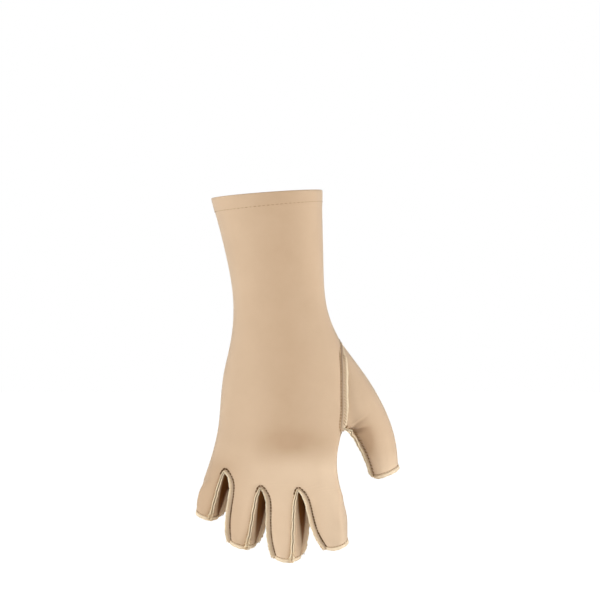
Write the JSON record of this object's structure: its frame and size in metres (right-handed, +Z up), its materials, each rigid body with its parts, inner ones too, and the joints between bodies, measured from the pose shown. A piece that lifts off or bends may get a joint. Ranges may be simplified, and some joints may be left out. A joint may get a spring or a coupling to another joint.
{
  "type": "compression glove",
  "caption": "Right-hand stretch-knit compression glove with open fingertips, a long wrist sleeve, outward seams and narrow stitched hems.",
  "frame": {"origin": "middle of the cuff's mouth, where the forearm goes in", "axes": "+Z up the forearm with the fingers down, +X to the thumb side, +Y out of the palm, back of the hand to -Y"},
  "size_m": [0.1485, 0.0688, 0.2686],
  "materials": {
    "knit": "matt beige stretch knit",
    "hem_knit": "matt folded knit",
    "turned_edge": "cream cut edge"
  },
  "bodies": {
    "root": {"hand_panel": "knit", "thumb_panel": "knit", "fourchette_little_ring": "knit", "fourchette_ring_middle": "knit", "fourchette_middle_index": "knit", "seam_back_little_ring": "turned_edge", "seam_palm_little_ring": "turned_edge", "seam_back_ring_middle": "turned_edge", "seam_palm_ring_middle": "turned_edge", "seam_back_middle_index": "turned_edge", "seam_palm_middle_index": "turned_edge", "seam_thumb_base": "turned_edge", "seam_thumb_inner": "turned_edge", "hem_little": "hem_knit", "hem_ring": "hem_knit", "hem_middle": "hem_knit", "hem_index": "hem_knit", "hem_thumb": "hem_knit", "cuff_hem": "hem_knit"}
  },
  "joints": []
}
